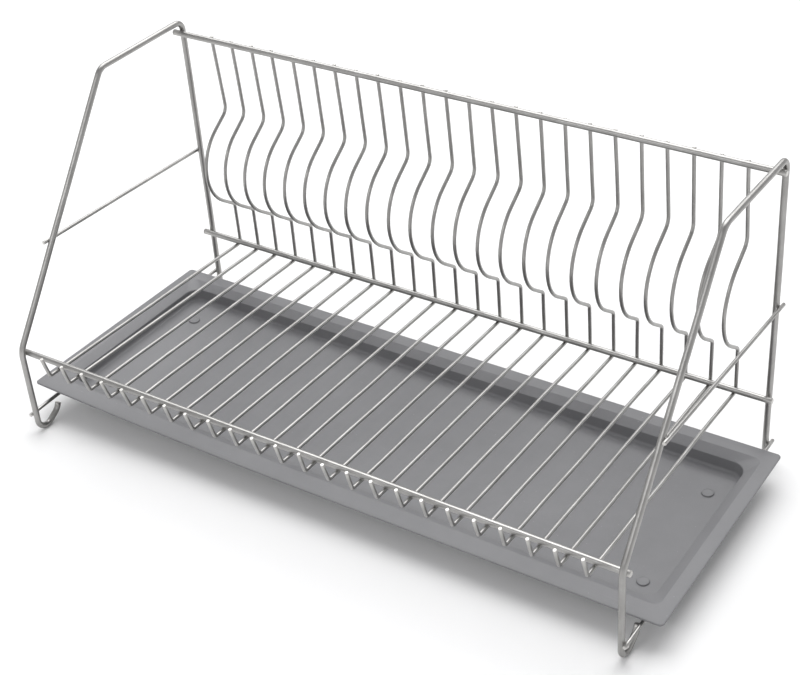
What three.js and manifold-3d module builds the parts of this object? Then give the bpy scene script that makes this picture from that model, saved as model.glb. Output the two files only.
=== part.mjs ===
// Wire dish drying rack with a drip tray. Millimetres, +Z up, +X to the right, +Y to the back.
// Two bent side frames carry three straight rails, and 24 bent plate wires are welded to the rails.
// The tray's rim lies loose on two thin wires welded to the outsides of the frames.
import * as THREE from "three";
import { mergeVertices } from "three/addons/utils/BufferGeometryUtils.js";
import Module from "manifold-3d";

// ---- Wire sizes ----
const thickRadius = 3; // side frames and rails, 6 mm wire
const thinRadius = 1.8; // plate wires, braces and tray supports, 3.6 mm wire
const weldGap = 0.3; // space left for the weld between two crossing wires
const arcTolerance = 0.2; // how far a bend's chords may stray from its arc

// ---- Side frames ----
const frameSpacing = 645; // centre to centre
const postY = 296; // back posts, measured from the front legs' centre line
const frontCornerZ = 98.5;
const bendY = 172;
const bendZ = 324;
const topCornerZ = 321.5;
const hookRadius = 9.5; // centre line of the foot hooks
const hookRise = THREE.MathUtils.degToRad(37);
const hookTipY = 31;

// ---- Rails ----
const topRailZ = 310.5;
const lowerRailZ = 74.5;
const frontRailZ = 94;
// How far each rail reaches past the left and right frames' centre lines
const topRailReach = [7, 3.5];
const lowerRailReach = [6.5, 6];
const frontRailReach = [2, 5];

// ---- Plate wires ----
const plateWireCount = 24;
const plateWirePitch = 25;
const firstWireInset = 38; // from the left frame's centre line
const hookCornerY = -9; // where the base run turns up in front of the front rail
const hookReach = 6.3; // from that corner forward to the tip
const tipHeight = 113;
const plateTurn = THREE.MathUtils.degToRad(1.1); // seen from above, the plate wires' lean to the right
const wireTopOverhang = 2; // above the top rail's centre line

// ---- Thin side wires ----
const braceFront = [60, 187];
const braceBack = [303, 172.5];
const supportZ = 21;
const supportFrontY = -5;
const supportBackY = 302;

// ---- Drip tray ----
const trayLength = 692;
const trayDepth = 250;
const trayFrontY = 27;
const trayCornerRadius = 4;
const rimTopZ = 28;
const rimThickness = 2;
const borderWidth = { end: 12.7, front: 19.5, back: 14 }; // flat part of the rim
const borderCornerRadius = 8; // where the flat border meets the sloped band
const slopeWidth = 9.8;
const slopeDrop = 4.8;
const basinCornerRadius = 14;
const wallLean = 1; // the wall's inward lean from the sloped band to the floor
const wallThickness = 1.5;
const trayHollow = 17; // from the rim's top down to the floor's top
const floorRound = 3;
const bossRadius = 5.9;
const bossHeight = 1.3;
const bossX = [-294.5, 301.5]; // from the tray's middle
const bossY = [-69, 63];

// Lines that follow from the sizes above
const halfSpacing = frameSpacing / 2;
const crossing = thickRadius + thickRadius + weldGap;
const thinCrossing = thickRadius + thinRadius + weldGap;
const backRailY = postY - crossing;
const frontRailY = crossing;
const wireBackY = backRailY + thinCrossing;
const sideWireX = halfSpacing + thinCrossing;

// ---- Materials ----
const steelColor = 0xa9a9a9;
const trayColor = 0x87878a;

function steel() {
  return new THREE.MeshStandardMaterial({ color: steelColor, roughness: 0.35, metalness: 0.85 });
}

// The largest even share of a quarter turn that keeps an arc's chords within arcTolerance of it.
function quarterStep(radius) {
  const widest = 2 * Math.acos(1 - arcTolerance / radius);
  return Math.PI / 2 / Math.ceil(Math.PI / 2 / widest);
}

// A wire bent in a plane of constant X: straight runs joined by arcs at the corners.
// Each corner is [y, z, bend radius]; the two ends need no radius.
class BentWire extends THREE.Curve {
  constructor(corners) {
    super();
    this.stations = [];
    const points = corners.map(([y, z]) => new THREE.Vector3(0, y, z));
    const last = points.length - 1;
    const first = points[1].clone().sub(points[0]).normalize();
    this.stations.push({ point: points[0], tangent: first });
    for (let i = 1; i < last; i++) {
      this.addBend(points[i - 1], points[i], points[i + 1], corners[i][2]);
    }
    const end = points[last].clone().sub(points[last - 1]).normalize();
    this.stations.push({ point: points[last], tangent: end });
  }

  addBend(before, corner, after, radius) {
    const incoming = corner.clone().sub(before).normalize();
    const outgoing = after.clone().sub(corner).normalize();
    const turn = incoming.angleTo(outgoing);
    const start = corner.clone().addScaledVector(incoming, -radius * Math.tan(turn / 2));
    const axis = incoming.clone().cross(outgoing).normalize();
    const centre = start.clone().addScaledVector(axis.clone().cross(incoming), radius);
    const spoke = start.clone().sub(centre);
    const arcStep = quarterStep(radius);
    const steps = Math.ceil(turn / arcStep);
    for (let k = 0; k <= steps; k++) {
      const angle = Math.min(k * arcStep, turn);
      this.stations.push({
        point: spoke.clone().applyAxisAngle(axis, angle).add(centre),
        tangent: incoming.clone().applyAxisAngle(axis, angle),
      });
    }
  }

  get steps() {
    return this.stations.length - 1;
  }

  // Stations are placed only where the wire bends, so the length is not spread evenly.
  getUtoTmapping(u) {
    return u;
  }

  getPoint(t, target = new THREE.Vector3()) {
    return target.copy(this.stations[Math.round(t * this.steps)].point);
  }

  getTangent(t, target = new THREE.Vector3()) {
    return target.copy(this.stations[Math.round(t * this.steps)].tangent);
  }
}

function bentWire(name, x, radius, halfSides, corners) {
  const path = new BentWire(corners);
  const section = new THREE.Shape().absarc(0, 0, radius, 0, Math.PI * 2);
  const geometry = new THREE.ExtrudeGeometry(section, {
    steps: path.steps,
    curveSegments: halfSides,
    extrudePath: path,
  });
  const mesh = new THREE.Mesh(geometry, steel());
  mesh.name = name;
  mesh.position.x = x;
  return mesh;
}

// A straight wire between two points.
function straightWire(name, radius, sides, from, to) {
  const direction = to.clone().sub(from);
  const geometry = new THREE.CylinderGeometry(radius, radius, direction.length(), sides);
  const mesh = new THREE.Mesh(geometry, steel());
  mesh.name = name;
  mesh.position.copy(from).add(to).multiplyScalar(0.5);
  mesh.quaternion.setFromUnitVectors(new THREE.Vector3(0, 1, 0), direction.normalize());
  return mesh;
}

// ---- Side frames: foot hook, leg, slanted front, top and back post in one wire ----
function sideFrame(name, x) {
  const hookBottomZ = thickRadius;
  const hookTurn = Math.PI / 2 + hookRise;
  const centreZ = hookBottomZ + hookRadius;
  const cornerDrop = hookRadius * Math.tan(hookTurn / 2);
  const hookCornerZ = centreZ - cornerDrop;
  const hookTipZ = hookCornerZ + hookTipY * Math.tan(hookRise);
  return bentWire(name, x, thickRadius, 4, [
    [postY, 0],
    [postY, topCornerZ, 10],
    [bendY, bendZ, 14],
    [0, frontCornerZ, 22],
    [0, hookCornerZ, hookRadius],
    [hookTipY, hookTipZ],
  ]);
}

// ---- Plate wires: upright with a forward bulge, then a base run and an upturned front hook ----
function plateWire(index) {
  const name = "plate_wire_" + String(index + 1).padStart(2, "0");
  const x = -halfSpacing + firstWireInset + index * plateWirePitch;
  const lowerZ = lowerRailZ - thinCrossing;
  const frontZ = frontRailZ - thinCrossing;
  const slope = (frontZ - lowerZ) / (backRailY - frontRailY);
  const wire = bentWire(name, x, thinRadius, 3, [
    [wireBackY, topRailZ + wireTopOverhang],
    [wireBackY, topRailZ - thinCrossing, 60],
    [301, 227.5, 12],
    [218.5, 175.5, 50],
    [294, 119, 6],
    [wireBackY, lowerZ, thinCrossing - 1],
    [hookCornerY, frontZ + slope * (frontRailY - hookCornerY), 4],
    [hookCornerY - hookReach, tipHeight],
  ]);
  // Turned about the upright run, so that the back stays in line.
  wire.rotation.z = plateTurn;
  wire.position.x += wireBackY * Math.sin(plateTurn);
  wire.position.y = wireBackY * (1 - Math.cos(plateTurn));
  return wire;
}

// ---- Drip tray ----
// One closed loop of points at a height. It is set in from the edge of the flat border by `inset`,
// or lies on the tray's outline when `inset` is null. Every ring has the same number of points.
function ring(inset, cornerRadius, z) {
  const border = inset === null ? { end: 0, front: 0, back: 0 } : borderWidth;
  const extra = inset ?? 0;
  const x = trayLength / 2 - border.end - extra - cornerRadius;
  const front = -trayDepth / 2 + border.front + extra + cornerRadius;
  const back = trayDepth / 2 - border.back - extra - cornerRadius;
  const centres = [[x, back], [-x, back], [-x, front], [x, front]];
  const steps = 6;
  const points = [];
  centres.forEach(([cx, cy], corner) => {
    for (let k = 0; k <= steps; k++) {
      const angle = (corner + k / steps) * (Math.PI / 2);
      points.push([cx + cornerRadius * Math.cos(angle), cy + cornerRadius * Math.sin(angle), z]);
    }
  });
  return points;
}

// A closed shell through a list of rings, with a flat cap on the first and the last.
function skin(rings) {
  const count = rings[0].length;
  const positions = rings.flat(2);
  const index = [];
  for (let r = 0; r + 1 < rings.length; r++) {
    for (let k = 0; k < count; k++) {
      const here = r * count + k;
      const beside = r * count + ((k + 1) % count);
      index.push(here, beside, beside + count, here, beside + count, here + count);
    }
  }
  const last = (rings.length - 1) * count;
  for (let k = 1; k + 1 < count; k++) {
    index.push(0, k + 1, k, last, last + k, last + k + 1);
  }
  const geometry = new THREE.BufferGeometry();
  geometry.setAttribute("position", new THREE.BufferAttribute(new Float32Array(positions), 3));
  geometry.setIndex(index);
  return geometry;
}

const wasm = await Module();
wasm.setup();

function solidFrom(geometry) {
  geometry.deleteAttribute("normal");
  geometry.deleteAttribute("uv");
  const merged = mergeVertices(geometry, 1e-4);
  return new wasm.Manifold(
    new wasm.Mesh({
      numProp: 3,
      vertProperties: new Float32Array(merged.attributes.position.array),
      triVerts: new Uint32Array(merged.index.array),
    }),
  );
}

function geometryFrom(solid) {
  const { vertProperties, triVerts } = solid.getMesh();
  const geometry = new THREE.BufferGeometry();
  geometry.setAttribute("position", new THREE.BufferAttribute(vertProperties, 3));
  geometry.setIndex(new THREE.BufferAttribute(triVerts, 1));
  geometry.computeVertexNormals();
  return geometry;
}

function dripTray() {
  const floorTopZ = rimTopZ - trayHollow;
  const floorBottomZ = floorTopZ - wallThickness;
  const bandZ = rimTopZ - slopeDrop;
  const fall = slopeDrop / slopeWidth;
  const underBand = wallThickness * Math.hypot(1, fall); // measured straight down
  const wallInset = slopeWidth + wallLean;
  const under = slopeWidth - wallThickness;
  const bend = 0.3 * floorRound;
  const underBandStart = (rimThickness - underBand) / fall;
  const shell = skin([
    ring(wallInset + floorRound, basinCornerRadius - floorRound, floorBottomZ),
    ring(wallInset + bend - wallThickness, basinCornerRadius, floorBottomZ + bend),
    ring(wallInset - wallThickness, basinCornerRadius, floorTopZ + floorRound),
    ring(under, basinCornerRadius, rimTopZ - under * fall - underBand),
    ring(underBandStart, borderCornerRadius, rimTopZ - rimThickness),
    ring(null, trayCornerRadius, rimTopZ - rimThickness),
    ring(null, trayCornerRadius, rimTopZ),
    ring(0, borderCornerRadius, rimTopZ),
    ring(slopeWidth, basinCornerRadius, bandZ),
    ring(wallInset, basinCornerRadius, floorTopZ + floorRound),
    ring(wallInset + bend, basinCornerRadius - bend, floorTopZ + bend),
    ring(wallInset + floorRound, basinCornerRadius - floorRound, floorTopZ),
  ]);
  let tray = solidFrom(shell);
  for (const [x, y] of bossX.flatMap((x) => bossY.map((y) => [x, y]))) {
    const boss = new THREE.CylinderGeometry(bossRadius - 0.6, bossRadius, bossHeight + 1, 16);
    boss.rotateX(Math.PI / 2);
    boss.translate(x, y, floorTopZ - 1 + (bossHeight + 1) / 2);
    tray = tray.add(solidFrom(boss));
  }
  const mesh = new THREE.Mesh(
    geometryFrom(tray),
    new THREE.MeshStandardMaterial({ color: trayColor, roughness: 0.6, metalness: 0 }),
  );
  mesh.name = "drip_tray";
  mesh.position.y = trayFrontY + trayDepth / 2;
  return mesh;
}

// ---- Assembly ----
const rack = new THREE.Group();
rack.add(sideFrame("left_side_frame", -halfSpacing));
rack.add(sideFrame("right_side_frame", halfSpacing));

const rails = {
  top_rail: [backRailY, topRailZ, topRailReach],
  lower_rail: [backRailY, lowerRailZ, lowerRailReach],
  front_rail: [frontRailY, frontRailZ, frontRailReach],
};
for (const [name, [y, z, reach]] of Object.entries(rails)) {
  const left = new THREE.Vector3(-halfSpacing - reach[0], y, z);
  const right = new THREE.Vector3(halfSpacing + reach[1], y, z);
  rack.add(straightWire(name, thickRadius, 12, left, right));
}

for (const [side, x] of [["left", -sideWireX], ["right", sideWireX]]) {
  const braceStart = new THREE.Vector3(x, ...braceFront);
  const braceEnd = new THREE.Vector3(x, ...braceBack);
  rack.add(straightWire(side + "_mid_brace", thinRadius, 10, braceStart, braceEnd));
  const supportStart = new THREE.Vector3(x, supportFrontY, supportZ);
  const supportEnd = new THREE.Vector3(x, supportBackY, supportZ);
  rack.add(straightWire(side + "_tray_support", thinRadius, 10, supportStart, supportEnd));
}

for (let index = 0; index < plateWireCount; index++) {
  rack.add(plateWire(index));
}

const tray = new THREE.Group();
tray.add(dripTray());

// The origin is on the ground under the middle of the rack.
const dishRack = new THREE.Group();
dishRack.add(rack, tray);
const extent = new THREE.Box3().setFromObject(dishRack, true);
const middle = extent.getCenter(new THREE.Vector3());
for (const half of [rack, tray]) {
  half.position.set(-middle.x, -middle.y, -extent.min.z);
}

export default dishRack;
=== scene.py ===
"""Wire dish drying rack with a drip tray: wires swept along bent paths, weld beads, and a moulded tray.
Lengths are in millimetres until MM turns them to metres, and y counts from the front legs' centre line."""
import math
import random
import bpy
import numpy as np
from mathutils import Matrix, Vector, noise


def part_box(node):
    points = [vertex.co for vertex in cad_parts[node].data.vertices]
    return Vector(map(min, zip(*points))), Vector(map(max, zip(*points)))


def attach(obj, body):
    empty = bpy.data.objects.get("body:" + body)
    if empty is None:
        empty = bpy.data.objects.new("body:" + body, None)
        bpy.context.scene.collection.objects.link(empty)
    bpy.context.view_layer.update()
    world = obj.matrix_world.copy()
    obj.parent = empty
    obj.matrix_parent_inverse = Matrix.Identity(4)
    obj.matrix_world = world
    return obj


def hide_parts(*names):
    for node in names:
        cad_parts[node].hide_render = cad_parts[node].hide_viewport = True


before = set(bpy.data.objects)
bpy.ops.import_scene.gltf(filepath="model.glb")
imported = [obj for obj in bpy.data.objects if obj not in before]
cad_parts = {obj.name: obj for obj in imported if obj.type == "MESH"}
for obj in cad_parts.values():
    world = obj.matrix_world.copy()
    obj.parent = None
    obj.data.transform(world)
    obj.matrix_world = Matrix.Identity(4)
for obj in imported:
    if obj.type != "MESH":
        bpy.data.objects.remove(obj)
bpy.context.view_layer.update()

MM = 0.001
THICK = 3.0            # radius of the frames' and rails' wire
THIN = 1.8             # radius of the plate wires, braces and supports
PRESS = 0.1            # how far two welded wires sink into each other
HALF = 322.5           # from the middle to each side frame's centre line
POST_Y = 296
RAIL_Y = POST_Y - 2 * THICK + PRESS
FRONT_Y = 2 * THICK - PRESS
TOP_Z, LOWER_Z, FRONT_Z = 310.5, 74.5, 94   # the rails' heights
CROSS = THICK + THIN - PRESS   # between the centre lines of a thick and a thin wire
BACK_Y = RAIL_Y + CROSS        # the plate wires' uprights
SIDE_X = HALF + CROSS          # the braces and supports
PLATE_COUNT, PLATE_PITCH, FIRST_INSET = 24, 25, 38
LEG_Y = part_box("left_side_frame")[0].y / MM + THICK   # the front legs' y in the part's frame
TURN = math.radians(1.1)   # seen from above, the plate wires' lean to the right
THICK_SIDES, THIN_SIDES, PLATE_SIDES = 24, 16, 14
ACROSS, UP = (1, 0, 0), (0, 0, 1)
SWAY, PLATE_SWAY = 0.5, 0.7    # how far wires wander off their line at most
BENT_WANDER, STRAIGHT_WANDER = 0.011, 0.006   # how quickly they wander, per mm
BEND_STEP = math.radians(7)    # the largest turn between two points of a bend
rng = random.Random(11)


# ---- Paths ----
def bent_path(corners, step=8.0):
    """Points of a wire bent at (y, z, radius) corners; straight runs get a point about every step."""
    pts = [np.array(c[:2], float) for c in corners]
    line = [pts[0]]
    for i in range(1, len(pts) - 1):
        a, c, b = pts[i - 1], pts[i], pts[i + 1]
        din = (c - a) / np.linalg.norm(c - a)
        dout = (b - c) / np.linalg.norm(b - c)
        turn = math.acos(max(-1.0, min(1.0, float(din @ dout))))
        r = corners[i][2]
        start = c - din * r * math.tan(turn / 2)
        side = 1.0 if din[0] * dout[1] - din[1] * dout[0] > 0 else -1.0
        centre = start + side * r * np.array([-din[1], din[0]])
        spoke = start - centre
        steps = max(4, int(math.ceil(turn / BEND_STEP)))
        for k in range(steps + 1):
            t = side * turn * k / steps
            rot = np.array([[math.cos(t), -math.sin(t)], [math.sin(t), math.cos(t)]])
            line.append(centre + rot @ spoke)
    line.append(pts[-1])
    out = [line[0]]
    for p, q in zip(line, line[1:]):
        n = max(1, int(np.linalg.norm(q - p) / step))
        out += [p + (q - p) * k / n for k in range(1, n + 1)]
    return out


def in_plane(x, path, sway=0.0, phase=0.0):
    """A path in the plane x, with a slow sideways wander of at most sway."""
    points = []
    for y, z in path:
        dx = sway * noise.noise(Vector((phase, y * BENT_WANDER, z * BENT_WANDER)))
        points.append((x + dx, y, z))
    return points


def straight(a, b, sway=0.0, phase=0.0, step=12.0):
    """Points from a to b, with a slow wander up and down of at most sway."""
    a, b = np.array(a, float), np.array(b, float)
    n = max(2, int(np.linalg.norm(b - a) / step))
    points = []
    for k in range(n + 1):
        p = a + (b - a) * k / n
        p[2] += sway * noise.noise(Vector((phase, p[0] * STRAIGHT_WANDER, p[1] * STRAIGHT_WANDER)))
        points.append(tuple(p))
    return points


# ---- Meshes ----
def skin(base, loops, count):
    """Quads between neighbouring loops of count points; the first loop starts at vertex base."""
    faces = []
    for i in range(loops - 1):
        for k in range(count):
            j = (k + 1) % count
            faces.append((base + i * count + k, base + i * count + j,
                          base + (i + 1) * count + j, base + (i + 1) * count + k))
    return faces


def finish_mesh(name, verts, faces, attributes=None, flat=()):
    """An object from points in millimetres; flat lists the faces that aren't smoothed."""
    mesh = bpy.data.meshes.new(name)
    moved = np.array(verts, float)
    moved[:, 1] += LEG_Y
    mesh.from_pydata((moved * MM).tolist(), [], faces)
    smooth = np.ones(len(faces), bool)
    smooth[list(flat)] = False
    mesh.polygons.foreach_set("use_smooth", smooth)
    for key, (kind, data) in (attributes or {}).items():
        layer = mesh.attributes.new(key, kind, "POINT")
        layer.data.foreach_set("vector" if kind == "FLOAT_VECTOR" else "value",
                               np.array(data, np.float32).ravel())
    mesh.update()
    obj = bpy.data.objects.new(name, mesh)
    bpy.context.scene.collection.objects.link(obj)
    return obj


def wire(name, points, radius, sides, hint):
    """A round wire swept along points, its two clipped ends chamfered and given a painted highlight."""
    p = np.array(points, float)
    tangent = np.gradient(p, axis=0)
    tangent /= np.linalg.norm(tangent, axis=1)[:, None]
    chamfer, face = 0.16 * radius, 0.8 * radius
    length = np.concatenate([[0], np.cumsum(np.linalg.norm(np.diff(p, axis=0), axis=1))])
    # Each ring is (centre, direction, radius, distance along the wire, how much painted highlight its metal
    # gets).
    rings = [(p[0], tangent[0], face, 0.0, 1.0),
             (p[0] + tangent[0] * chamfer, tangent[0], radius, chamfer, 0.6)]
    rings += [(p[i], tangent[i], radius, length[i], 0.0) for i in range(1, len(p) - 1)]
    rings += [(p[-1] - tangent[-1] * chamfer, tangent[-1], radius, length[-1] - chamfer, 0.6),
              (p[-1], tangent[-1], face, length[-1], 1.0)]
    verts, along, painted_end_highlight = [], [], []
    hint = np.array(hint, float)
    seed = rng.random() * 40
    for centre, t, r, s, end_highlight in rings:
        n = hint - t * (hint @ t)
        n /= np.linalg.norm(n)
        b = np.cross(t, n)
        for k in range(sides):
            a = 2 * math.pi * k / sides
            verts.append(centre + r * (math.cos(a) * n + math.sin(a) * b))
            along.append((radius * math.cos(a) + seed, radius * math.sin(a), s))
            painted_end_highlight.append(end_highlight)
    count = len(rings)
    faces = skin(0, count, sides)
    faces.append(tuple(reversed(range(sides))))
    faces.append(tuple(range((count - 1) * sides, count * sides)))
    # The end faces' painted highlight share goes to the material as an attribute.
    attributes = {"along": ("FLOAT_VECTOR", along), "painted_end_highlight": ("FLOAT", painted_end_highlight)}
    return finish_mesh(name, verts, faces, attributes, (len(faces) - 2, len(faces) - 1))


def beads(name, spots):
    """Small fused lumps of weld metal. Each spot is (centre, half sizes along x, y, z)."""
    verts, faces, along = [], [], []
    rows, cols = 9, 14
    for centre, size in spots:
        base = len(verts)
        lump = rng.random() * 90
        for i in range(rows + 1):
            lat = math.pi * i / rows
            for k in range(cols):
                lon = 2 * math.pi * k / cols
                d = Vector((math.sin(lat) * math.cos(lon), math.sin(lat) * math.sin(lon), math.cos(lat)))
                swell = 1 + 0.22 * noise.noise(d * 1.7 + Vector((lump, 0, 0)))
                point = np.array(centre) + np.array(size) * np.array(d) * swell
                verts.append(point)
                along.append(tuple(point))
        faces += [(a, d, c, b) for a, b, c, d in skin(base, rows + 1, cols)]
    obj = finish_mesh(name, verts, faces, {"along": ("FLOAT_VECTOR", along)})
    obj.data.validate()
    return obj


# ---- Materials ----
MIX_SHARE, MIX_FIRST, MIX_SECOND, MIX_RESULT = 0, 6, 7, 2   # a Mix node's sockets for colours


class Nodes:
    """A material's node tree, with short ways to add and link its nodes."""

    def __init__(self, name):
        self.material = bpy.data.materials.new(name)
        self.material.use_nodes = True
        self.tree = self.material.node_tree
        self.shader = self.tree.nodes["Principled BSDF"]

    def add(self, kind, **inputs):
        node = self.tree.nodes.new(kind)
        for key, value in inputs.items():
            if key.startswith("set_"):
                setattr(node, key[4:], value)
            elif isinstance(value, bpy.types.NodeSocket):
                self.tree.links.new(value, node.inputs[key.replace("_", " ")])
            else:
                node.inputs[key.replace("_", " ")].default_value = value
        return node

    def join(self, source, target):
        self.tree.links.new(source, target)

    def texture(self, place, scale, detail, roughness=0.5):
        node = self.add("ShaderNodeTexNoise", Vector=place, Scale=scale, Detail=detail, Roughness=roughness)
        return node.outputs["Fac"]

    def span(self, value, low, high, start=0.0, end=1.0):
        """value's stretch from start to end, turned into low to high."""
        node = self.add("ShaderNodeMapRange", Value=value, To_Min=low, To_Max=high,
                        From_Min=start, From_Max=end)
        return node.outputs["Result"]

    def combine(self, operation, first, second):
        node = self.add("ShaderNodeMath", set_operation=operation)
        self.join(first, node.inputs[0])
        self.join(second, node.inputs[1])
        return node.outputs[0]

    def blend(self, share, base, colour):
        """base where share is 0, and colour where it is 1."""
        node = self.add("ShaderNodeMix", set_data_type="RGBA")
        self.join(share, node.inputs[MIX_SHARE])
        self.join(base, node.inputs[MIX_FIRST])
        node.inputs[MIX_SECOND].default_value = (*colour, 1)
        return node.outputs[MIX_RESULT]

    def bump(self, height, strength, distance):
        node = self.add("ShaderNodeBump", Strength=strength, Distance=distance, Height=height)
        self.join(node.outputs["Normal"], self.shader.inputs["Normal"])

    def shades(self, value, stops):
        """A colour ramp over value; stops are (place, colour)."""
        node = self.add("ShaderNodeValToRGB", Fac=value)
        ramp = node.color_ramp
        ramp.elements[0].position, ramp.elements[1].position = stops[0][0], stops[-1][0]
        ramp.elements[0].color = (*stops[0][1], 1)
        ramp.elements[1].color = (*stops[-1][1], 1)
        for place, colour in stops[1:-1]:
            ramp.elements.new(place).color = (*colour, 1)
        return node.outputs["Color"]


def drawn_steel(name, dark, light, rough, welded=False):
    """Satin drawn wire: fine lines along its length, cloudy tone, and a painted highlight, a lighter colour,
    on the end faces.
    """
    m = Nodes(name)
    along = m.add("ShaderNodeAttribute", set_attribute_name="along").outputs["Vector"]
    place = m.add("ShaderNodeTexCoord").outputs["Object"]
    lines = m.add("ShaderNodeMapping", Vector=along, Scale=(3.2, 3.2, 0.035))
    drawn = m.texture(lines.outputs["Vector"], 1.0, 4.0, 0.6)
    cloud = m.texture(place, 38.0, 5.0, 0.62)
    specks = m.texture(place, 900.0, 2.0)
    tone = m.combine("ADD", m.span(cloud, 0.0, 0.62, 0.3, 0.7), m.span(drawn, 0.0, 0.38, 0.32, 0.68))
    middle = tuple((a + b) / 2 for a, b in zip(dark, light))
    colour = m.shades(tone, [(0.0, dark), (0.55, middle), (1.0, light)])
    # The end faces are painted a lighter colour as a highlight.
    if not welded:
        painted_end_highlight = m.add("ShaderNodeAttribute", set_attribute_name="painted_end_highlight").outputs["Fac"]
        colour = m.blend(painted_end_highlight, colour, (0.58, 0.57, 0.55))
    m.join(colour, m.shader.inputs["Base Color"])
    m.join(m.span(drawn, rough[0], rough[1], 0.3, 0.7), m.shader.inputs["Roughness"])
    m.shader.inputs["Metallic"].default_value = 1.0
    height = m.add("ShaderNodeMath", set_operation="MULTIPLY_ADD")
    m.join(specks, height.inputs[0])
    height.inputs[1].default_value = 1.3 if welded else 0.25
    m.join(drawn, height.inputs[2])
    m.bump(height.outputs[0], 0.35 if welded else 0.16, 0.0002)
    return m.material


def moulded_plastic(name):
    """Mid-grey moulded plastic: fine grain, a faint cloudy tone, and light scuffs from use."""
    m = Nodes(name)
    place = m.add("ShaderNodeTexCoord").outputs["Object"]
    cloud = m.texture(place, 9.0, 6.0, 0.6)
    grain = m.texture(place, 1500.0, 3.0, 0.6)
    streaks = m.add("ShaderNodeMapping", Vector=place, Scale=(14.0, 260.0, 14.0), Rotation=(0, 0, 0.5))
    scuff = m.texture(streaks.outputs["Vector"], 1.0, 7.0, 0.7)
    specks = m.add("ShaderNodeTexVoronoi", Vector=place, Scale=120.0).outputs["Distance"]
    tone = m.shades(cloud, [(0.28, (0.162, 0.162, 0.170)), (0.5, (0.188, 0.188, 0.196)),
                            (0.74, (0.216, 0.216, 0.224))])
    dots = m.combine("MAXIMUM", m.span(specks, 0.55, 0.0, 0.03, 0.07), m.span(scuff, 0.0, 0.22, 0.62, 0.78))
    m.join(m.blend(dots, tone, (0.34, 0.34, 0.35)), m.shader.inputs["Base Color"])
    wear = m.combine("ADD", m.span(cloud, 0.40, 0.52, 0.3, 0.7), m.span(scuff, 0.0, 0.12, 0.6, 0.8))
    m.join(wear, m.shader.inputs["Roughness"])
    m.bump(grain, 0.22, 0.0001)
    return m.material


steel = drawn_steel("satin_steel", (0.28, 0.275, 0.267), (0.45, 0.445, 0.435), (0.28, 0.42))
weld = drawn_steel("weld_metal", (0.22, 0.215, 0.21), (0.38, 0.37, 0.36), (0.38, 0.55), welded=True)
plastic = moulded_plastic("tray_plastic_grain")


def rack_piece(obj, material, *nodes):
    """Gives a steel piece its material and body; nodes are the CAD nodes that it replaces."""
    obj.data.materials.append(material)
    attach(obj, "rack")
    if nodes:
        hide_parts(*nodes)


# ---- Side frames ----
# Corners of the outline as (y, z, radius).
TOP_CORNER, TOP_BEND, FRONT_CORNER = (POST_Y, 321.5, 10), (172, 324, 14), (0, 98.5, 22)
HOOK_R, HOOK_RISE, HOOK_TIP_Y = 9.5, math.radians(37), 31
HOOK_BEND_R = HOOK_R + 1.2
# The hook's end turns up: its bend and its tip as (y, z) from where a straight hook would end.
UPTURN_BEND, UPTURN_TIP, UPTURN_R = (-4, -3.8), (-0.5, 2.5), 12
# Ends of the thin side wires as (y, z).
BRACE_FRONT, BRACE_BACK = (60, 187), (303, 172.5)
SUPPORT_Z = 21
SUPPORT_FRONT, SUPPORT_BACK = (-4, SUPPORT_Z), (302, SUPPORT_Z)
hook_corner = THICK + HOOK_R - HOOK_BEND_R * math.tan((math.pi / 2 + HOOK_RISE) / 2)
hook_tip = hook_corner + HOOK_TIP_Y * math.tan(HOOK_RISE)


def side_shape(corner_z):
    """From the back post's foot up, forward and down to the tip of the foot hook."""
    return bent_path([(POST_Y, 0), TOP_CORNER, TOP_BEND, FRONT_CORNER, (0, corner_z, HOOK_BEND_R),
                      (HOOK_TIP_Y + UPTURN_BEND[0], hook_tip + UPTURN_BEND[1], UPTURN_R),
                      (HOOK_TIP_Y + UPTURN_TIP[0], hook_tip + UPTURN_TIP[1])])


for _ in range(12):   # the hook's underside settles on the ground
    side_path = side_shape(hook_corner)
    hook_corner += THICK - min(z for y, z in side_path if y < HOOK_TIP_Y)
for side, x in (("left", -HALF), ("right", HALF)):
    path = in_plane(x, side_path, SWAY, x)
    rack_piece(wire(f"{side}_frame_wire", path, THICK, THICK_SIDES, ACROSS), steel, f"{side}_side_frame")
    outer = math.copysign(SIDE_X, x)
    brace = straight((outer, *BRACE_FRONT), (outer, *BRACE_BACK), SWAY, x + 3)
    rack_piece(wire(f"{side}_brace_wire", brace, THIN, THIN_SIDES, ACROSS), steel, f"{side}_mid_brace")
    rest = straight((outer, *SUPPORT_FRONT), (outer, *SUPPORT_BACK), SWAY, x + 7)
    rack_piece(wire(f"{side}_support_wire", rest, THIN, THIN_SIDES, ACROSS), steel, f"{side}_tray_support")

# ---- Rails ----
# Each is (name, y, z, reach past the left frame's centre line, reach past the right one's).
RAILS = (("top_rail", RAIL_Y, TOP_Z, 7, 3.5), ("lower_rail", RAIL_Y, LOWER_Z, 6.5, 6),
         ("front_rail", FRONT_Y, FRONT_Z, 2, 5))
for name, y, z, left_reach, right_reach in RAILS:
    path = straight((-HALF - left_reach, y, z), (HALF + right_reach, y, z), SWAY, z)
    rack_piece(wire(f"{name}_wire", path, THICK, THICK_SIDES, UP), steel, name)

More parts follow.
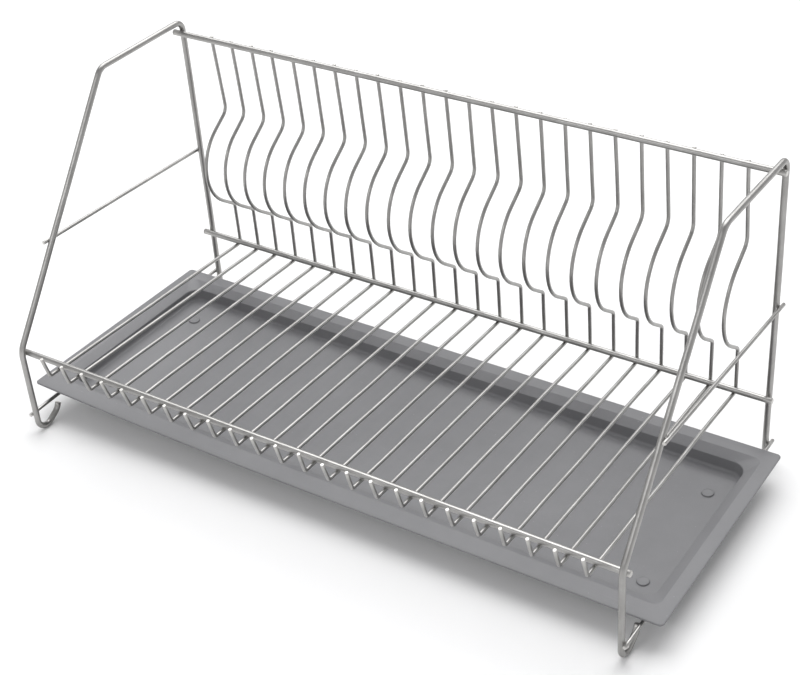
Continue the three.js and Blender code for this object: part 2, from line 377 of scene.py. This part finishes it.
# ---- Plate wires ----
TOP_OVERHANG, TOP_R = 1.9, 60
ABOVE_BULGE, BELOW_BULGE = (301, 227.5, 12), (294, 119, 6)   # (y, z, radius)
BULGE_Y, BULGE_Z, BULGE_R = 218.5, 175.5, 50
FRONT_END_Y, FRONT_END_LEAN, FRONT_END_R, TIP_Z = -9, 6.3, 3.4, 113
base_slope = (FRONT_Z - LOWER_Z) / (RAIL_Y - FRONT_Y)
low_z = LOWER_Z - CROSS
plate_x = [-HALF + FIRST_INSET + i * PLATE_PITCH for i in range(PLATE_COUNT)]
for i, x in enumerate(plate_x):
    bulge_y = BULGE_Y + rng.uniform(-0.7, 0.7)
    bulge_z = BULGE_Z + rng.uniform(-0.8, 0.8)
    end_y = FRONT_END_Y + rng.uniform(-0.6, 0.5)
    lean = FRONT_END_LEAN + rng.uniform(-0.5, 0.9)
    tip_z = TIP_Z + rng.uniform(-0.9, 0.7)
    shape = [(BACK_Y, TOP_Z + TOP_OVERHANG + rng.uniform(-0.5, 0.5)), (BACK_Y, TOP_Z - CROSS, TOP_R),
             ABOVE_BULGE, (bulge_y, bulge_z, BULGE_R), BELOW_BULGE, (BACK_Y, low_z, CROSS),
             (end_y, low_z + base_slope * (RAIL_Y - end_y), FRONT_END_R + rng.uniform(-0.5, 0.9)),
             (end_y - lean, tip_z)]
    path = in_plane(x + rng.uniform(-0.2, 0.2), bent_path(shape), PLATE_SWAY, 5.0 + 3 * i)
    path = [(px + (BACK_Y - py) * math.tan(TURN), py, pz) for px, py, pz in path]
    swept = wire(f"plate_wire_shape_{i + 1:02d}", path, THIN, PLATE_SIDES, ACROSS)
    rack_piece(swept, steel, f"plate_wire_{i + 1:02d}")


# ---- Welds ----
def weld_row(name, shift, y, z, size):
    """A bead at each plate wire, moved by shift along the rail."""
    rack_piece(beads(name, [((x + shift, y, z), size) for x in plate_x]), weld)


diagonal = THICK * 0.7   # a spot between the rail's back and its underside
front_shift = (BACK_Y - FRONT_Y) * math.tan(TURN)
weld_row("top_rail_welds", 0, RAIL_Y + THICK - PRESS, TOP_Z, (2.1, 1.3, 2.2))
weld_row("lower_rail_welds", 0, RAIL_Y + diagonal, LOWER_Z - diagonal, (1.8, 1.3, 1.3))
weld_row("front_rail_welds", front_shift, FRONT_Y, FRONT_Z - THICK + PRESS, (2.1, 2.2, 1.2))
# On each side frame: the rails' beads as (y, z), and the thin wires' as ((y, z), size).
RAIL_WELDS = ((POST_Y - THICK, TOP_Z), (POST_Y - THICK, LOWER_Z), (THICK, FRONT_Z))
RAIL_WELD_SIZE = (2.4, 1.5, 2.5)
THIN_WELDS = (((POST_Y, 172.9), (1.4, 2.2, 1.9)), ((67.5, 186.5), (1.5, 2.2, 2.2)),
              ((0.5, SUPPORT_Z), (1.4, 2.4, 1.9)), ((POST_Y, SUPPORT_Z), (1.4, 2.1, 1.8)))
frame_spots = []
for x in (-HALF, HALF):
    out = math.copysign(THICK, x)
    frame_spots += [((x, y, z), RAIL_WELD_SIZE) for y, z in RAIL_WELDS]
    frame_spots += [((x + out, y, z), size) for (y, z), size in THIN_WELDS]
rack_piece(beads("side_frame_welds", frame_spots), weld)

# ---- Drip tray ----
TRAY_L, TRAY_D, TRAY_FRONT = 692, 250, 27
TRAY_Y = TRAY_FRONT + TRAY_D / 2
RIM_Z, RIM_T, WALL_T = 28, 2, 1.5
BORDER = {"end": 12.7, "front": 19.5, "back": 14}   # widths of the flat rim
SLOPE_W, SLOPE_DROP = 9.8, 4.8         # the sloped band inside the rim
LEAN_IN, HOLLOW, FLOOR_R = 1, 17, 3    # the walls' lean, the floor's depth and the bend between them
FLOOR_Z = RIM_Z - HOLLOW
FLOOR_EDGE, FLOOR_LOOPS = 8, (12, 27, 42, 57, 72, 80)
BAND_R, WALL_R, INNER_R = 8, 14, 5     # corners seen from above, from the sloped band to the floor
CORNER_POINTS, RUN_POINTS = 12, (40, 12, 40, 12)
BOSS_X, BOSS_Y, BOSS_RIGHT, BOSS_FORWARD, BOSS_SPOKES = 298, 66, 3.5, 3, 28
LIFT = 8               # the front left corner of the loose tray stands a little high


def settle(x, y, z):
    """The height z, raised towards the front left corner."""
    left = max(0.0, -x / (TRAY_L / 2))
    front = (TRAY_D / 2 - y) / TRAY_D
    return z + LIFT * left ** 2 * front


def tray_ring(share, inset, radius, z):
    """A closed loop: share of the flat border's width plus inset in from the outline, at height z."""
    x = TRAY_L / 2 - share * BORDER["end"] - inset
    front = -TRAY_D / 2 + share * BORDER["front"] + inset
    back = TRAY_D / 2 - share * BORDER["back"] - inset
    corners = [((x - radius, back - radius), 0), ((-x + radius, back - radius), 1),
               ((-x + radius, front + radius), 2), ((x - radius, front + radius), 3)]
    loop = []
    for index, ((cx, cy), quarter) in enumerate(corners):
        for k in range(CORNER_POINTS + 1):
            a = (quarter + k / CORNER_POINTS) * math.pi / 2
            loop.append((cx + radius * math.cos(a), cy + radius * math.sin(a)))
        (nx, ny), nq = corners[(index + 1) % 4]
        a = nq * math.pi / 2
        goal = (nx + radius * math.cos(a), ny + radius * math.sin(a))
        last = loop[-1]
        for k in range(1, RUN_POINTS[index]):
            t = k / RUN_POINTS[index]
            loop.append((last[0] + (goal[0] - last[0]) * t, last[1] + (goal[1] - last[1]) * t))
    return [(px, py, z) for px, py in loop]


def rounded(profile):
    """(inset, z, radius) corners as a line with arcs."""
    return [tuple(p) for p in bent_path(profile, 6.0)]


def corner_radius(inset):
    """A loop's corner radius: it grows down the sloped band and shrinks across the floor."""
    if inset <= SLOPE_W + LEAN_IN:
        return BAND_R + (WALL_R - BAND_R) * min(1.0, max(0.0, inset / SLOPE_W))
    return max(INNER_R, WALL_R - (inset - SLOPE_W - LEAN_IN))


fall = SLOPE_DROP / SLOPE_W
under = WALL_T * math.hypot(1, fall)
flat_in = SLOPE_W + LEAN_IN + FLOOR_EDGE
outer_wall = SLOPE_W + LEAN_IN - WALL_T
top_side = rounded([(-4, RIM_Z), (0, RIM_Z, 2.0), (SLOPE_W, RIM_Z - SLOPE_DROP, 1.2),
                    (SLOPE_W + LEAN_IN, FLOOR_Z, FLOOR_R), (flat_in, FLOOR_Z)])
low_side = rounded([(flat_in, FLOOR_Z - WALL_T), (outer_wall, FLOOR_Z - WALL_T, FLOOR_R + 1),
                    (SLOPE_W - WALL_T, RIM_Z - (SLOPE_W - WALL_T) * fall - under, 1.0),
                    ((RIM_T - under) / fall, RIM_Z - RIM_T, 1.5), (-4, RIM_Z - RIM_T)])
floor_steps = [flat_in + k for k in FLOOR_LOOPS]
# The rounded outer edge as (inset, corner radius, z), from the underside to the top.
outer_edge = [(0.5, 3.5, RIM_Z - RIM_T), (0.12, 3.9, RIM_Z - RIM_T + 0.15), (0, 4, RIM_Z - RIM_T + 0.5),
              (0, 4, RIM_Z - 0.7), (0.18, 3.8, RIM_Z - 0.2), (0.7, 3.3, RIM_Z)]
rings = [tray_ring(1, e, corner_radius(e), FLOOR_Z - WALL_T) for e in reversed(floor_steps)]
rings += [tray_ring(1, e, corner_radius(e), z) for e, z in low_side]
rings += [tray_ring(0, e, radius, z) for e, radius, z in outer_edge]
rings += [tray_ring(1, e, corner_radius(e), z) for e, z in top_side]
rings += [tray_ring(1, e, corner_radius(e), FLOOR_Z) for e in floor_steps]
count = len(rings[0])
verts = [p for loop in rings for p in loop]
faces = skin(0, len(rings), count)
# Each cap is a strip of quads across the tray, with one many-sided face at either end.
middle = count - RUN_POINTS[3] // 2    # the point halfway along the tray's right side
half_way = count // 2                  # from there to the one opposite
end = 12                               # points that an end face takes on each side of them
last = (len(rings) - 1) * count
caps = [[(middle + turn + t) % count for t in range(-end, end + 1)] for turn in (0, half_way)]
caps += [[(middle + k) % count, (middle + k + 1) % count, (middle - k - 1) % count, (middle - k) % count]
         for k in range(end, half_way - end)]
for cap in caps:
    faces.append(tuple(last + v for v in cap))
    faces.append(tuple(reversed(cap)))
# A boss's profile as (radius, height over the floor).
BOSS = [(6.3, -0.3), (5.9, 0.1), (5.75, 0.9), (5.5, 1.25), (5.1, 1.35), (4.8, 1.15), (4.4, 1.05),
        (2.5, 1.1), (0.4, 1.1)]
for sx in (-1, 1):
    for sy in (-1, 1):
        base = len(verts)
        boss_x, boss_y = BOSS_RIGHT + sx * BOSS_X, sy * BOSS_Y - BOSS_FORWARD
        for radius, height in BOSS:
            for k in range(BOSS_SPOKES):
                a = 2 * math.pi * k / BOSS_SPOKES
                verts.append((boss_x + radius * math.cos(a), boss_y + radius * math.sin(a), FLOOR_Z + height))
        faces += skin(base, len(BOSS), BOSS_SPOKES)
        faces.append(tuple(base + (len(BOSS) - 1) * BOSS_SPOKES + k for k in range(BOSS_SPOKES)))
        faces.append(tuple(base + k for k in reversed(range(BOSS_SPOKES))))
verts = [(x, y + TRAY_Y, settle(x, y, z)) for x, y, z in verts]
tray = finish_mesh("moulded_drip_tray", verts, faces)
tray.data.materials.append(plastic)
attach(tray, "tray")
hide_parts("drip_tray")

# ---- Floor ----
REACH = 14   # metres from the middle to the floor's edges
floor_corners = [(-REACH, -REACH, 0), (REACH, -REACH, 0), (REACH, REACH, 0), (-REACH, REACH, 0)]
floor_mesh = bpy.data.meshes.new("studio_floor")
floor_mesh.from_pydata(floor_corners, [], [(0, 1, 2, 3)])
floor = bpy.data.objects.new("studio_floor", floor_mesh)
bpy.context.scene.collection.objects.link(floor)
paper = Nodes("white_floor")
paper.shader.inputs["Base Color"].default_value = (0.9, 0.9, 0.9, 1)
paper.shader.inputs["Roughness"].default_value = 0.9
paper.shader.inputs["Specular IOR Level"].default_value = 0.1
floor.data.materials.append(paper.material)

# ---- Light ----
world = bpy.data.worlds.new("studio")
bpy.context.scene.world = world
world.use_nodes = True
sky = world.node_tree
direction = sky.nodes.new("ShaderNodeTexCoord")
split = sky.nodes.new("ShaderNodeSeparateXYZ")
ramp = sky.nodes.new("ShaderNodeValToRGB")
ramp.color_ramp.elements[0].position = 0.0
ramp.color_ramp.elements[0].color = (0.98, 0.98, 0.98, 1)
ramp.color_ramp.elements[1].position = 0.8
ramp.color_ramp.elements[1].color = (0.55, 0.55, 0.56, 1)
sky.links.new(direction.outputs["Generated"], split.inputs[0])
sky.links.new(split.outputs["Z"], ramp.inputs["Fac"])
sky.links.new(ramp.outputs["Color"], sky.nodes["Background"].inputs["Color"])
sky.nodes["Background"].inputs["Strength"].default_value = 0.82


def softbox(name, place, aim, size, power):
    """A rectangular light, in metres and watts, pointed at aim."""
    data = bpy.data.lights.new(name, "AREA")
    data.shape = "RECTANGLE"
    data.size, data.size_y = size
    data.energy = power
    lamp = bpy.data.objects.new(name, data)
    lamp.location = place
    lamp.rotation_euler = (Vector(aim) - Vector(place)).to_track_quat("-Z", "Y").to_euler()
    bpy.context.scene.collection.objects.link(lamp)


softbox("overhead", (-0.35, 0.95, 1.95), (0.05, 0, 0.1), (2.6, 1.9), 25)
sun = bpy.data.lights.new("wide_sky_key", "SUN")
sun.energy = 1.35
sun.angle = math.radians(60)
key = bpy.data.objects.new("wide_sky_key", sun)
key.rotation_euler = Vector((-0.3, 0.55, 1.0)).to_track_quat("Z", "Y").to_euler()
bpy.context.scene.collection.objects.link(key)
softbox("front_strip", (-0.3, -2.0, 1.6), (0, 0, 0.15), (2.2, 0.3), 9)

# ---- Camera ----
lens = bpy.data.cameras.new("photo_view")
lens.sensor_width = 36
lens.lens = 75.45
lens.dof.use_dof = False
camera = bpy.data.objects.new("photo_view", lens)
camera.location = (0.7536, (LEG_Y - 881.0) * MM, 1.0117)
camera.rotation_euler = (0.9621, 0.0649, 0.5731)
bpy.context.scene.collection.objects.link(camera)
bpy.context.scene.camera = camera
bpy.context.scene.view_settings.view_transform = "Standard"

bpy.context.view_layer.update()
